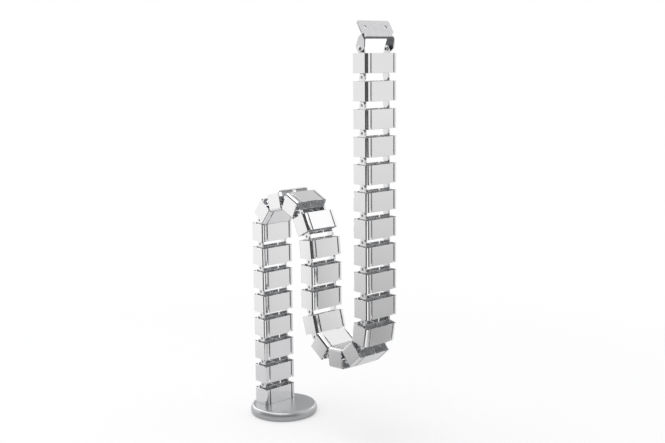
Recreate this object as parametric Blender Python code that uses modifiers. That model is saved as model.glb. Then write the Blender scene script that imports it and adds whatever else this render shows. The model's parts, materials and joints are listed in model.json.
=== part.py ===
"""Cable spine: a chain of hinged cable links on a round steel base, stored in an S fold.

Every link turns about an axis along X. The spine rises from the base, folds over at the
top, comes down, turns up again and ends in a steel bracket that screws under a desk.
"""
import math

import bmesh
import bpy
from mathutils import Matrix, Vector

# Driving dimensions, in metres

LINK_COUNT = 30
LINK_PITCH = 0.042
LINK_WIDTH = 0.0655
LINK_DEPTH = 0.0336
LINK_GAP = 0.0121
CORNER_RADIUS = 0.0045
CORNER_STEPS = 2
WALL = 0.0018
SLIT_WIDTH = 0.0024
SLIT_INSET = 0.0082

EAR_THICKNESS = 0.002
EAR_INSET = 0.0054
EAR_SHOULDER = 0.013
EAR_ROOT = 0.010
EAR_TIP_CLEARANCE = 0.0004
EAR_STEPS = 4
STUD_RADIUS = 0.0021
STUD_STEPS = 6
FIT = 0.0003

# Bend of each hinge in degrees, from the one above the foot link to the one under the top link.
# Positive folds the spine forward, towards -Y.
COLUMN_BEND = 0.0
ARCH_BENDS = (38.5, 38.5, 38.5, 38.5, 20.0, 6.0)
FIRST_ARCH_HINGE = 8
U_TURN_BENDS = (-16.0, -38.5, -38.5, -38.5, -38.5, -10.0)
FIRST_U_TURN_HINGE = 15

BASE_RADIUS = 0.0585
BASE_HEIGHT = 0.017
BASE_FLOOR_CLEARANCE = 0.001
BASE_CROWN = 0.001
BASE_BEAD_WIDTH = 0.0055
BASE_WIDEST_HEIGHT = 0.007
BASE_TUCK = 0.0015
BASE_BEAD_STEPS = 5
BASE_STEPS = 32
COLUMN_OFFSET = 0.024
FIRST_HINGE_HEIGHT = 0.0495

PAD_THICKNESS = 0.0018
PAD_INSET = 0.0035
POCKET_FLOOR = 0.009

BOSS_RADIUS = 0.0035
BOSS_HEIGHT = 0.012
BOSS_SPACING = 0.032
SCREW_RADIUS = 0.0017
SCREW_LENGTH = 0.0145
SCREW_HEAD_RADIUS = 0.0034
SCREW_HEAD_HEIGHT = 0.0022
ROUND_STEPS = 10

SHEET = 0.002
SHEET_FOLD = 0.0032
PLATE_OVERHANG = 0.002
PLATE_DEPTH = 0.0226
PLATE_CORNER = 0.003
PLATE_HEIGHT = 0.0191
PLATE_SETBACK = 0.0151
PLATE_HOLE_RADIUS = 0.0025
PLATE_HOLE_INSET = 0.0125
ARM_INSET = 0.00075
BRACKET_NECK = 0.0056
BRACKET_NOSE = (-0.0048, 0.0086)
BRACKET_HEEL = (0.0062, -0.0018)
BRACKET_HEEL_RADIUS = 0.0028
BRACKET_REAR = (0.0163, 0.0076)
BRACKET_TILT = 57.7
RIVET_HEAD_RADIUS = 0.0036
RIVET_HEAD_HEIGHT = 0.0012

# Sizes that follow from them

EAR_RADIUS = LINK_GAP / 2 - EAR_TIP_CLEARANCE
OUTER_EAR_X = LINK_WIDTH / 2 - EAR_INSET - EAR_THICKNESS / 2
INNER_EAR_X = OUTER_EAR_X - EAR_THICKNESS - FIT
HOLE_RADIUS = (STUD_RADIUS + FIT) / math.cos(math.pi / STUD_STEPS)
SLIT_X = LINK_WIDTH / 2 - SLIT_INSET
FOOT_BOTTOM = POCKET_FLOOR + FIT
BASE_UNDERSIDE = PAD_THICKNESS + FIT
BRACKET_WIDTH = LINK_WIDTH - 2 * ARM_INSET
PLATE_WIDTH = BRACKET_WIDTH + 2 * PLATE_OVERHANG

# Turns a flat outline's X, Y and thickness into Y, Z and X
SIDEWAYS = Matrix(((0, 0, 1, 0), (1, 0, 0, 0), (0, 1, 0, 0), (0, 0, 0, 1)))


def clear_scene():
    for item in list(bpy.data.objects):
        bpy.data.objects.remove(item, do_unlink=True)


def new_collection(name):
    collection = bpy.data.collections.new(name)
    bpy.context.scene.collection.children.link(collection)
    return collection


def new_material(name, colour, roughness, metallic):
    material = bpy.data.materials.new(name)
    material.use_nodes = True
    shader = material.node_tree.nodes["Principled BSDF"]
    shader.inputs["Base Color"].default_value = (*colour, 1.0)
    shader.inputs["Roughness"].default_value = roughness
    shader.inputs["Metallic"].default_value = metallic
    return material


def arc(centre, radius, start, end, steps):
    """Points along an arc, with angles in degrees."""
    points = []
    for index in range(steps + 1):
        angle = math.radians(start + (end - start) * index / steps)
        points.append((centre[0] + radius * math.cos(angle), centre[1] + radius * math.sin(angle)))
    return points


def circle(centre, radius, steps):
    return arc(centre, radius, 0, 360, steps)[:-1]


def rounded_rectangle(width, depth, radius, steps, centre=(0, 0)):
    points = []
    for start, side_x, side_y in ((0, 1, 1), (90, -1, 1), (180, -1, -1), (270, 1, -1)):
        corner = (centre[0] + side_x * (width / 2 - radius), centre[1] + side_y * (depth / 2 - radius))
        points += arc(corner, radius, start, start + 90, steps)
    return points


def outline_mesh(name, loops, thickness, matrix=Matrix()):
    """A flat outline, with any holes, extruded evenly to both sides and moved by the matrix."""
    curve = bpy.data.curves.new(name, "CURVE")
    curve.dimensions = "2D"
    curve.fill_mode = "BOTH"
    curve.extrude = thickness / 2
    for loop in loops:
        spline = curve.splines.new("POLY")
        spline.points.add(len(loop) - 1)
        for point, place in zip(spline.points, loop):
            point.co = (place[0], place[1], 0, 1)
        spline.use_cyclic_u = True
    holder = bpy.data.objects.new(name, curve)
    bpy.context.scene.collection.objects.link(holder)
    bpy.context.view_layer.update()
    mesh = bpy.data.meshes.new_from_object(holder.evaluated_get(bpy.context.evaluated_depsgraph_get()))
    bpy.data.objects.remove(holder, do_unlink=True)
    bpy.data.curves.remove(curve)
    shape = bmesh.new()
    shape.from_mesh(mesh)
    bmesh.ops.remove_doubles(shape, verts=shape.verts, dist=1e-6)
    if len(loops) == 1:
        for side in (-1, 1):
            end = [face for face in shape.faces if all(side * vert.co.z > 0 for vert in face.verts)]
            bmesh.ops.dissolve_faces(shape, faces=end)
    bmesh.ops.recalc_face_normals(shape, faces=shape.faces)
    bmesh.ops.transform(shape, matrix=matrix, verts=shape.verts)
    shape.to_mesh(mesh)
    shape.free()
    return mesh


def turned_mesh(name, profile, steps):
    """A closed profile of radius and height, turned about Z with a Screw modifier."""
    mesh = bpy.data.meshes.new(name)
    mesh.from_pydata([(radius, 0, height) for radius, height in profile],
                     [(index, index + 1) for index in range(len(profile) - 1)], [])
    holder = bpy.data.objects.new(name, mesh)
    bpy.context.scene.collection.objects.link(holder)
    turn = holder.modifiers.new("Turn", "SCREW")
    turn.steps = steps
    turn.render_steps = steps
    turn.use_merge_vertices = True
    turn.merge_threshold = 0.00001
    bpy.context.view_layer.update()
    turned = bpy.data.meshes.new_from_object(holder.evaluated_get(bpy.context.evaluated_depsgraph_get()))
    bpy.data.objects.remove(holder, do_unlink=True)
    shape = bmesh.new()
    shape.from_mesh(turned)
    bmesh.ops.recalc_face_normals(shape, faces=shape.faces)
    shape.to_mesh(turned)
    shape.free()
    return turned


def cylinder_mesh(name, radius, length, steps, matrix):
    mesh = bpy.data.meshes.new(name)
    shape = bmesh.new()
    bmesh.ops.create_cone(shape, cap_ends=True, segments=steps, radius1=radius, radius2=radius,
                          depth=length, matrix=matrix)
    shape.to_mesh(mesh)
    shape.free()
    return mesh


def combine(name, first, steps):
    """Joins, cuts or intersects meshes with the first one, in order, as one mesh."""
    holder = bpy.data.objects.new(name, first)
    bpy.context.scene.collection.objects.link(holder)
    tools = []
    for operation, mesh in steps:
        tool = bpy.data.objects.new(name + "_tool", mesh)
        bpy.context.scene.collection.objects.link(tool)
        tools.append(tool)
        change = holder.modifiers.new(operation, "BOOLEAN")
        change.operation = operation
        change.object = tool
        change.solver = "EXACT"
    bpy.context.view_layer.update()
    mesh = bpy.data.meshes.new_from_object(holder.evaluated_get(bpy.context.evaluated_depsgraph_get()))
    for item in (holder, *tools):
        bpy.data.objects.remove(item, do_unlink=True)
    mesh.name = name
    return mesh


def place(name, mesh, collection, material, location=(0, 0, 0), turn_x=0.0):
    """Puts a mesh in the scene as a named sub-part, turned about X by an angle in degrees."""
    item = bpy.data.objects.new(name, mesh)
    item.location = location
    item.rotation_euler = (math.radians(turn_x), 0, 0)
    collection.objects.link(item)
    if not mesh.materials:
        mesh.materials.append(material)
    mesh.shade_smooth()
    mesh.set_sharp_from_angle(angle=math.radians(35))
    return item


def link_quarter():
    """Outline of one quarter of a link's section, from its front panel round to its side."""
    side = LINK_WIDTH / 2
    face = LINK_DEPTH / 2
    corner = (side - CORNER_RADIUS, face - CORNER_RADIUS)
    points = [
        (SLIT_X - SLIT_WIDTH / 2, face),
        (SLIT_X - SLIT_WIDTH / 2, face - WALL),
        (WALL / 2, face - WALL),
        (WALL / 2, WALL / 2),
        (side - WALL, WALL / 2),
        (side - WALL, face - WALL),
        (SLIT_X + SLIT_WIDTH / 2, face - WALL),
        (SLIT_X + SLIT_WIDTH / 2, face),
    ]
    points += arc(corner, CORNER_RADIUS, 90, 0, CORNER_STEPS)
    return points


def link_section():
    """The whole section: two side frames, a web, a post and two panels behind slits."""
    quarter = link_quarter()
    mirrored = quarter[::-1]
    section = list(quarter)
    section += [(x, -y) for x, y in mirrored]
    section += [(-x, -y) for x, y in quarter]
    section += [(-x, y) for x, y in mirrored]
    return section


def link_body_mesh(bottom, top):
    """The moulded tube of a link between two heights above its lower hinge."""
    middle = Matrix.Translation((0, 0, (bottom + top) / 2))
    return outline_mesh("link_body", [link_section()], top - bottom, middle)


def ear_outline(hinge, shoulder, root):
    """An ear in Y and Z: a round end about the hinge that widens to a rib inside the link."""
    direction = 1 if hinge > shoulder else -1
    end = arc((0, hinge), EAR_RADIUS, -10 * direction, 190 * direction, EAR_STEPS)
    half = EAR_SHOULDER / 2
    return [(half, root), (half, shoulder)] + end + [(-half, shoulder), (-half, root)]


def ear_mesh(side, centre_x, hinge, shoulder, root, bored):
    loops = [ear_outline(hinge, shoulder, root)]
    if bored:
        loops.append(circle((0, hinge), HOLE_RADIUS, STUD_STEPS))
    move = Matrix.Translation((side * centre_x, 0, 0))
    return outline_mesh("ear", loops, EAR_THICKNESS, move @ SIDEWAYS)


def upper_ears():
    """The bored outer ears that rise from a link's top end."""
    top = LINK_PITCH - LINK_GAP / 2
    return [("UNION", ear_mesh(side, OUTER_EAR_X, LINK_PITCH, top, top - EAR_ROOT, True))
            for side in (-1, 1)]


def lower_ears():
    """The inner ears that hang from a link's bottom end, with studs for the ears below."""
    bottom = LINK_GAP / 2
    shapes = []
    stud_end = OUTER_EAR_X + EAR_THICKNESS / 2
    for side in (-1, 1):
        shapes.append(("UNION", ear_mesh(side, INNER_EAR_X, 0, bottom, bottom + EAR_ROOT, False)))
        middle = (INNER_EAR_X + stud_end) / 2
        lie = Matrix.Translation((side * middle, 0, 0)) @ Matrix.Rotation(math.pi / 2, 4, "Y")
        shapes.append(("UNION", cylinder_mesh("stud", STUD_RADIUS, stud_end - INNER_EAR_X, STUD_STEPS, lie)))
    return shapes


def link_mesh():
    body = link_body_mesh(LINK_GAP / 2, LINK_PITCH - LINK_GAP / 2)
    return combine("link", body, upper_ears() + lower_ears())


def screw_places():
    return [(side * BOSS_SPACING / 2, COLUMN_OFFSET) for side in (-1, 1)]


def foot_link_mesh():
    """The bottom link: no lower ears, but two screw bosses on its web."""
    below_hinge = FIRST_HINGE_HEIGHT - LINK_PITCH
    bottom = FOOT_BOTTOM - below_hinge
    body = link_body_mesh(bottom, LINK_PITCH - LINK_GAP / 2)
    steps = upper_ears()
    for x, _ in screw_places():
        middle = Matrix.Translation((x, 0, bottom + BOSS_HEIGHT / 2))
        steps.append(("UNION", cylinder_mesh("boss", BOSS_RADIUS, BOSS_HEIGHT, ROUND_STEPS, middle)))
    depth = 2 * (BASE_UNDERSIDE + SCREW_LENGTH + FIT - FOOT_BOTTOM)
    for x, _ in screw_places():
        middle = Matrix.Translation((x, 0, bottom))
        steps.append(("DIFFERENCE", cylinder_mesh("bore", SCREW_RADIUS + FIT, depth, ROUND_STEPS, middle)))
    return combine("foot_link", body, steps)


def base_profile():
    """Radius and height of the turned base, from the middle of its top round to its underside."""
    crest = BASE_RADIUS - BASE_BEAD_WIDTH
    shoulder = BASE_HEIGHT - BASE_CROWN - BASE_WIDEST_HEIGHT
    profile = [(0, BASE_HEIGHT), (crest * 0.6, BASE_HEIGHT - BASE_CROWN / 2)]
    for step in range(BASE_BEAD_STEPS + 1):
        turn = math.pi / 2 * step / BASE_BEAD_STEPS
        profile.append((crest + BASE_BEAD_WIDTH * math.sin(turn),
                        BASE_WIDEST_HEIGHT + shoulder * math.cos(turn)))
    recess = BASE_RADIUS - PAD_INSET + FIT
    profile += [(BASE_RADIUS - BASE_TUCK, BASE_FLOOR_CLEARANCE), (recess, BASE_FLOOR_CLEARANCE),
                (recess, BASE_UNDERSIDE), (0, BASE_UNDERSIDE)]
    return profile


def foot_opening_mesh(bottom, top):
    loop = rounded_rectangle(LINK_WIDTH + 2 * FIT, LINK_DEPTH + 2 * FIT, CORNER_RADIUS + FIT,
                             CORNER_STEPS, (0, COLUMN_OFFSET))
    middle = Matrix.Translation((0, 0, (bottom + top) / 2))
    return outline_mesh("foot_opening", [loop], top - bottom, middle)


def base_mesh():
    """A turned steel disc with a pocket for the foot link and two screw ways."""
    disc = turned_mesh("base_disc", base_profile(), BASE_STEPS)
    steps = [("DIFFERENCE", foot_opening_mesh(POCKET_FLOOR, BASE_HEIGHT * 2))]
    for x, y in screw_places():
        middle = Matrix.Translation((x, y, POCKET_FLOOR / 2))
        steps.append(("DIFFERENCE", cylinder_mesh("screw_way", SCREW_RADIUS + FIT, BASE_HEIGHT,
                                                  ROUND_STEPS, middle)))
        seat_top = BASE_UNDERSIDE + SCREW_HEAD_HEIGHT + FIT
        seat = Matrix.Translation((x, y, seat_top / 2))
        steps.append(("DIFFERENCE", cylinder_mesh("screw_seat", SCREW_HEAD_RADIUS + FIT, seat_top,
                                                  ROUND_STEPS, seat)))
    return combine("base", disc, steps)


def foot_pad_mesh():
    radius = BASE_RADIUS - PAD_INSET
    return cylinder_mesh("foot_pad", radius, PAD_THICKNESS, BASE_STEPS,
                         Matrix.Translation((0, 0, PAD_THICKNESS / 2)))


def screw_mesh():
    """A pan head and its shank, head down, with its origin under the head."""
    shank_length = SCREW_LENGTH - SCREW_HEAD_HEIGHT
    head = cylinder_mesh("head", SCREW_HEAD_RADIUS, SCREW_HEAD_HEIGHT, ROUND_STEPS,
                         Matrix.Translation((0, 0, SCREW_HEAD_HEIGHT / 2)))
    overlap = SCREW_HEAD_HEIGHT / 2
    middle = Matrix.Translation((0, 0, SCREW_LENGTH - (shank_length + overlap) / 2))
    shank = cylinder_mesh("shank", SCREW_RADIUS, shank_length + overlap, ROUND_STEPS, middle)
    return combine("base_screw", head, [("UNION", shank)])


def bracket_side_outline():
    """Side view of the arms, in use with the plate level: nose, hinge end, heel and rear edge."""
    front = PLATE_SETBACK - BRACKET_NECK
    outline = [(front, PLATE_HEIGHT), BRACKET_NOSE]
    outline += arc((0, 0), EAR_RADIUS, 160, 300, EAR_STEPS)
    outline += arc(BRACKET_HEEL, BRACKET_HEEL_RADIUS, 270, 350, 3)
    outline += [BRACKET_REAR, (BRACKET_REAR[0], PLATE_HEIGHT)]
    return outline


def bracket_channel_outline():
    """Front view of the folded sheet: a crossbar with an arm at each end."""
    half = BRACKET_WIDTH / 2
    drop = -2 * EAR_RADIUS
    inner = SHEET_FOLD - SHEET
    top = PLATE_HEIGHT
    outer_right = arc((half - SHEET_FOLD, top - SHEET_FOLD), SHEET_FOLD, 0, 90, 4)
    outer_left = arc((SHEET_FOLD - half, top - SHEET_FOLD), SHEET_FOLD, 90, 180, 4)
    inner_left = arc((SHEET_FOLD - half, top - SHEET_FOLD), inner, 180, 90, 3)
    inner_right = arc((half - SHEET_FOLD, top - SHEET_FOLD), inner, 90, 0, 3)
    return ([(half, drop)] + outer_right + outer_left + [(-half, drop), (SHEET - half, drop)]
            + inner_left + inner_right + [(half - SHEET, drop)])


def bracket_mesh():
    """One folded steel sheet: a screw plate, a neck and two arms with a rivet hole each."""
    stand = Matrix.Rotation(math.pi / 2, 4, "X")
    channel = outline_mesh("channel", [bracket_channel_outline()], 4 * PLATE_DEPTH, stand)
    side = outline_mesh("side", [bracket_side_outline()], 2 * BRACKET_WIDTH, SIDEWAYS)
    middle = (0, PLATE_SETBACK + PLATE_DEPTH / 2)
    plate_loops = [rounded_rectangle(PLATE_WIDTH, PLATE_DEPTH, PLATE_CORNER, 4, middle)]
    for hand in (-1, 1):
        place_x = hand * (PLATE_WIDTH / 2 - PLATE_HOLE_INSET)
        plate_loops.append(circle((place_x, middle[1]), PLATE_HOLE_RADIUS, 12))
    level = Matrix.Translation((0, 0, PLATE_HEIGHT - SHEET / 2))
    plate = outline_mesh("plate", plate_loops, SHEET, level)
    across = Matrix.Rotation(math.pi / 2, 4, "Y")
    bore = cylinder_mesh("bore", HOLE_RADIUS, 2 * BRACKET_WIDTH, ROUND_STEPS, across)
    return combine("bracket", channel, [("INTERSECT", side), ("UNION", plate), ("DIFFERENCE", bore)])


def rivet_mesh(side):
    """A rivet through one arm and the top link's outer ear, closed behind the ear."""
    arm_face = BRACKET_WIDTH / 2 + FIT
    ear_back = OUTER_EAR_X - EAR_THICKNESS / 2 - FIT
    across = Matrix.Rotation(math.pi / 2, 4, "Y")

    def disc(name, radius, inner_x, outer_x):
        middle = Matrix.Translation((side * (inner_x + outer_x) / 2, 0, 0))
        return cylinder_mesh(name, radius, outer_x - inner_x, ROUND_STEPS, middle @ across)

    shank = disc("shank", STUD_RADIUS, ear_back - EAR_THICKNESS / 4, arm_face + RIVET_HEAD_HEIGHT / 2)
    head = disc("head", RIVET_HEAD_RADIUS, arm_face, arm_face + RIVET_HEAD_HEIGHT)
    tail = disc("tail", RIVET_HEAD_RADIUS, ear_back - EAR_THICKNESS / 2, ear_back)
    return combine("rivet", shank, [("UNION", head), ("UNION", tail)])


def hinge_bends():
    """Bend at each hinge between two links, as a list that starts above the foot link."""
    bends = [COLUMN_BEND] * (LINK_COUNT - 1)
    for first, group in ((FIRST_ARCH_HINGE, ARCH_BENDS), (FIRST_U_TURN_HINGE, U_TURN_BENDS)):
        for offset, bend in enumerate(group):
            bends[first - 1 + offset] = bend
    return bends


def link_places():
    """Lower hinge and turn about X of every link, and the top hinge after the last."""
    hinge = Vector((0, COLUMN_OFFSET, FIRST_HINGE_HEIGHT - LINK_PITCH))
    turn = 0.0
    places = []
    for bend in [0.0] + hinge_bends():
        turn += bend
        places.append((hinge.copy(), turn))
        angle = math.radians(turn)
        hinge += LINK_PITCH * Vector((0, -math.sin(angle), math.cos(angle)))
    return places, hinge, turn


def build():
    clear_scene()
    spine = new_collection("cable_spine")
    silver = new_material("silver_lacquered_plastic", (0.62, 0.63, 0.64), 0.28, 0.35)
    painted = new_material("silver_painted_steel", (0.50, 0.51, 0.52), 0.30, 0.40)
    zinc = new_material("zinc_plated_steel", (0.60, 0.60, 0.60), 0.40, 0.9)
    rubber = new_material("black_rubber", (0.03, 0.03, 0.03), 0.80, 0.0)

    place("weighted_base", base_mesh(), spine, painted)
    place("foot_pad", foot_pad_mesh(), spine, rubber)
    screw = screw_mesh()
    for number, (x, y) in enumerate(screw_places(), 1):
        place(f"base_screw_{number}", screw, spine, zinc, (x, y, BASE_UNDERSIDE))

    places, top_hinge, top_turn = link_places()
    moulding = link_mesh()
    for number, (hinge, turn) in enumerate(places, 1):
        mesh = foot_link_mesh() if number == 1 else moulding
        place(f"link_{number:02d}", mesh, spine, silver, hinge, turn)

    bracket_turn = top_turn + BRACKET_TILT
    place("bracket", bracket_mesh(), spine, zinc, top_hinge, bracket_turn)
    for name, side in (("bracket_rivet_left", -1), ("bracket_rivet_right", 1)):
        place(name, rivet_mesh(side), spine, zinc, top_hinge, bracket_turn)


build()
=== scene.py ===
# %% [markdown]
# # A silver cable spine
# This object carries the leads of a sit-stand desk. Thirty plastic links hang together like
# vertebrae, stand in a round steel foot and end in a bracket that is screwed under the table
# top. A spine is a good first lesson in repeats: one link is modelled with care, and a small
# Geometry Nodes tree lays copies of it along the hinges.

# %% Load the frame
import json
import math

import bmesh
import bpy
from mathutils import Matrix, Vector

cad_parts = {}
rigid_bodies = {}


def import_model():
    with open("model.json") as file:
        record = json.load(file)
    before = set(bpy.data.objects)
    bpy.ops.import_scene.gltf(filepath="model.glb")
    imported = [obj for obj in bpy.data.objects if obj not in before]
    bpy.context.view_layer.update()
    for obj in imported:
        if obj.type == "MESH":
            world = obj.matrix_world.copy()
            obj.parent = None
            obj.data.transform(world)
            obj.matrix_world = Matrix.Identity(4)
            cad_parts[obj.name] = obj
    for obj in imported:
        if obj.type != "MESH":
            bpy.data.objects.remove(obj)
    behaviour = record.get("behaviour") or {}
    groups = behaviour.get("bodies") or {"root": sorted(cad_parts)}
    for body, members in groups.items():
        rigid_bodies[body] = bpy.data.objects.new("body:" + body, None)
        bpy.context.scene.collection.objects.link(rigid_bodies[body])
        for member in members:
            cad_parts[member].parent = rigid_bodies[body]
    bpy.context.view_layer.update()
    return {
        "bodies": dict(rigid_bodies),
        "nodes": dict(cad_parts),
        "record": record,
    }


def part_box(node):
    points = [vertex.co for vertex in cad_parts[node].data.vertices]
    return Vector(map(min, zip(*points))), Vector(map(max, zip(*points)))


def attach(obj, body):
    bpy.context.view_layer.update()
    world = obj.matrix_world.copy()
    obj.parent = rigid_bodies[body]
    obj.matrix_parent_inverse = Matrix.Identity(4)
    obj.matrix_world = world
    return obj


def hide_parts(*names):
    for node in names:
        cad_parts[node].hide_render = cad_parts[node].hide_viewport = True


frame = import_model()
record = frame["record"]

# %% [markdown]
# The picture is clean and bright, so colours are shown with the Standard view transform, which
# leaves a value as it was written. Everything below is in metres, and MM turns a size that is
# easier to read in millimetres into metres.

# %% Units and the view transform
MM = 0.001
scene = bpy.context.scene
scene.view_settings.view_transform = "Standard"

# %% [markdown]
# The camera stands to the left of the spine, level with its topmost links, and looks down a
# little. Its place and turn are written as one matrix: the direction it looks from, then a
# small roll.

# %% The camera
IMAGE_WIDTH = 665
FOCAL_PIXELS = 1026.0
CAMERA_PLACE = Vector((-1.1075, -1.3466, 0.6232))
CAMERA_AZIMUTH = math.radians(-42.36)
CAMERA_PITCH = math.radians(9.25)
CAMERA_ROLL = math.radians(-0.57)
SENSOR_WIDTH = 36.0
NEAREST, FARTHEST = 0.05, 60.0


def camera_turn(azimuth, pitch, roll):
    """Turns a camera that looks down -Z so that it looks along -back, and rolls it."""
    back = Vector((math.sin(azimuth) * math.cos(pitch), -math.cos(azimuth) * math.cos(pitch),
                   math.sin(pitch)))
    right = Vector((0, 0, 1)).cross(back).normalized()
    up = back.cross(right)
    rolled_right = right * math.cos(roll) + up * math.sin(roll)
    rolled_up = up * math.cos(roll) - right * math.sin(roll)
    return Matrix((rolled_right, rolled_up, back)).transposed()


camera = bpy.data.objects.new("camera", bpy.data.cameras.new("camera"))
camera.data.sensor_fit = "HORIZONTAL"
camera.data.sensor_width = SENSOR_WIDTH
camera.data.lens = FOCAL_PIXELS * SENSOR_WIDTH / IMAGE_WIDTH
camera.data.clip_start = NEAREST
camera.data.clip_end = FARTHEST
camera.matrix_world = (Matrix.Translation(CAMERA_PLACE)
                       @ camera_turn(CAMERA_AZIMUTH, CAMERA_PITCH, CAMERA_ROLL).to_4x4())
scene.collection.objects.link(camera)
scene.camera = camera
print("lens:", round(camera.data.lens, 1), "mm")

# %% [markdown]
# A few helpers serve every material and every tree below. The first turns a colour as a
# painter picks it, in sRGB hex, into the linear numbers that a shader needs. The second adds a
# node with its settings, and fills or links its inputs by name or by number. The others make
# the pieces that most finishes share: a noise, a colour between two others, a number that
# strays a little, and a ripple. Nearly all values of a noise lie between 0.3 and 0.7.

# %% Helpers for colours and nodes
WHITE = (1, 1, 1, 1)
NOISE_LOW, NOISE_HIGH = 0.3, 0.7


def linear(code):
    """An sRGB hex colour as a linear RGBA value."""
    values = [int(code[i:i + 2], 16) / 255 for i in (1, 3, 5)]
    return [v / 12.92 if v <= 0.04045 else ((v + 0.055) / 1.055) ** 2.4 for v in values] + [1.0]


def add(tree, kind, inputs=None, **settings):
    """Adds a node, sets its properties, and fills its inputs with values or links."""
    made = tree.nodes.new(kind)
    for name, value in settings.items():
        setattr(made, name, value)
    for key, value in (inputs or {}).items():
        socket = made.inputs[key]
        if isinstance(value, bpy.types.NodeSocket):
            tree.links.new(value, socket)
        else:
            socket.default_value = value
    return made


def new_material(name):
    """An empty material, its tree, and the place of a point in the object's own space."""
    material = bpy.data.materials.new(name)
    material.use_nodes = True
    material.node_tree.nodes.clear()
    place = add(material.node_tree, "ShaderNodeTexCoord").outputs["Object"]
    return material, material.node_tree, place


def noise(tree, place, size, detail):
    """A noise with features about one size wide, stretched if the place is."""
    return add(tree, "ShaderNodeTexNoise", {"Vector": place, "Scale": 1 / size,
                                            "Detail": detail}).outputs["Fac"]


def stretched(tree, place, scale):
    """The same place with each axis scaled, so that a noise on it turns into lines."""
    return add(tree, "ShaderNodeMapping", {"Vector": place, "Scale": scale}).outputs[0]


def tone_between(tree, factor, first, second):
    """A colour between two hex colours."""
    return add(tree, "ShaderNodeMix", {"Factor": factor, 6: linear(first), 7: linear(second)},
               data_type="RGBA").outputs[2]


def straying(tree, factor, middle, share):
    """A number that strays from its middle by up to a share of it, as a noise does."""
    return add(tree, "ShaderNodeMapRange", {
        "Value": factor, 1: NOISE_LOW, 2: NOISE_HIGH, 3: middle * (1 - share),
        4: middle * (1 + share)}).outputs[0]


def ripple(tree, height, strength, distance):
    """A bent normal for a surface that rises and falls with a noise."""
    return add(tree, "ShaderNodeBump", {"Height": height, "Strength": strength,
                                        "Distance": distance}).outputs["Normal"]


def painted(material, tree, inputs):
    """Ends a material with a principled shader and returns the material."""
    shader = add(tree, "ShaderNodeBsdfPrincipled", inputs)
    add(tree, "ShaderNodeOutputMaterial", {"Surface": shader.outputs[0]})
    return material


# %% [markdown]
# Silver lacquer on a moulded plastic link looks almost like metal: the mirror of the flake
# layer gives hard highlights, and the spraying leaves a very fine orange peel, a ripple about
# 1.5 mm wide. The colour hardly varies from place to place, so one slow noise moves its
# brightness and its roughness a little.

# %% Lacquered plastic for the links
ORANGE_PEEL = 1.5 * MM
CLOUDS = 30 * MM


def lacquer(name, colour, darker, roughness, peel_height):
    """A metallic lacquer: flake colour that drifts slowly, and an orange-peel ripple."""
    material, tree, place = new_material(name)
    cloud = noise(tree, place, CLOUDS, 2.0)
    peel = noise(tree, place, ORANGE_PEEL, 1.0)
    return painted(material, tree, {
        "Base Color": tone_between(tree, cloud, darker, colour), "Metallic": 1.0,
        "Roughness": straying(tree, cloud, roughness, 0.15),
        "Normal": ripple(tree, peel, 0.05, peel_height)})


link_silver = lacquer("silver_lacquered_abs", "#EFEFF0", "#EAEAEB", 0.13, 0.02 * MM)

# %% [markdown]
# The four channels get painted shade: a darker grey than the lacquer, mostly like plain
# plastic with less than a third of flake, and faint streaks that run up the wall, about 4 mm
# apart.

# %% Painted shade inside the links
WALL_STREAK_SPACING = 4 * MM
UP_THE_WALL = (1.0, 1.0, 0.15)


def channel_shade(name, colour, paler, roughness):
    """A darker grey, mostly like plain plastic, streaked up the wall: painted shade in a channel.
    """
    material, tree, place = new_material(name)
    streak = noise(tree, stretched(tree, place, UP_THE_WALL), WALL_STREAK_SPACING, 3.0)
    return painted(material, tree, {
        "Base Color": tone_between(tree, streak, colour, paler), "Metallic": 0.3,
        "Roughness": roughness, "IOR": 1.53})


# Painted shade for the channels and for the hollows of the studs.
link_inside_shade = channel_shade("grey_abs_painted_shade", "#D2D3D5", "#DDDEE0", 0.25)

# %% [markdown]
# The heavy foot is turned from steel and sprayed with a smooth silver enamel. It is duller
# than the links: more of the light is scattered by the paint, and a clear coat gives the sharp
# part of the reflection.

# %% Painted steel for the foot


def enamel(name, colour, darker, roughness, peel_height):
    """Silver enamel: part metal flake, part pigment, under a clear coat."""
    material, tree, place = new_material(name)
    cloud = noise(tree, place, CLOUDS, 3.0)
    peel = noise(tree, place, ORANGE_PEEL, 1.0)
    return painted(material, tree, {
        "Base Color": tone_between(tree, cloud, darker, colour), "Metallic": 0.6,
        "Roughness": roughness, "Coat Weight": 0.7, "Coat Roughness": 0.18,
        "Normal": ripple(tree, peel, 0.12, peel_height)})


foot_enamel = enamel("silver_enamelled_steel", "#BFC0C2", "#B7B8BA", 0.32, 0.03 * MM)

# %% [markdown]
# The bracket, the rivets and the screws are zinc plated steel. Zinc grows in soft spangles a
# few millimetres wide, and rolling leaves faint lines along the sheet. So cells move the tone,
# and a stretched noise moves the roughness. The same finish, darker and duller, is painted
# shade on the bracket's front and on its faces that look down or inwards between the arms.

# %% Zinc plated steel for the bracket, rivets and screws
SPANGLE = 3 * MM
ROLLING_LINES = 0.6 * MM
ALONG_THE_SHEET = (0.05, 1.0, 1.0)


def zinc_plate(name, colour, darker, roughness):
    """Plated sheet: metal with spangles in its tone and rolling lines in its gloss."""
    material, tree, place = new_material(name)
    cells = add(tree, "ShaderNodeTexVoronoi", {"Vector": place, "Scale": 1 / SPANGLE})
    shade = add(tree, "ShaderNodeSeparateColor", {"Color": cells.outputs["Color"]})
    lines = noise(tree, stretched(tree, place, ALONG_THE_SHEET), ROLLING_LINES, 2.0)
    return painted(material, tree, {
        "Base Color": tone_between(tree, shade.outputs[0], darker, colour), "Metallic": 1.0,
        "Roughness": straying(tree, lines, roughness, 0.2)})


plated_sheet = zinc_plate("zinc_plated_steel", "#E4E4E6", "#DCDCDE", 0.2)
# Painted shade: a darker, duller zinc for the bracket's front and inner faces.
shaded_zinc = zinc_plate("zinc_painted_shade", "#77787B", "#67686B", 0.35)

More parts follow.
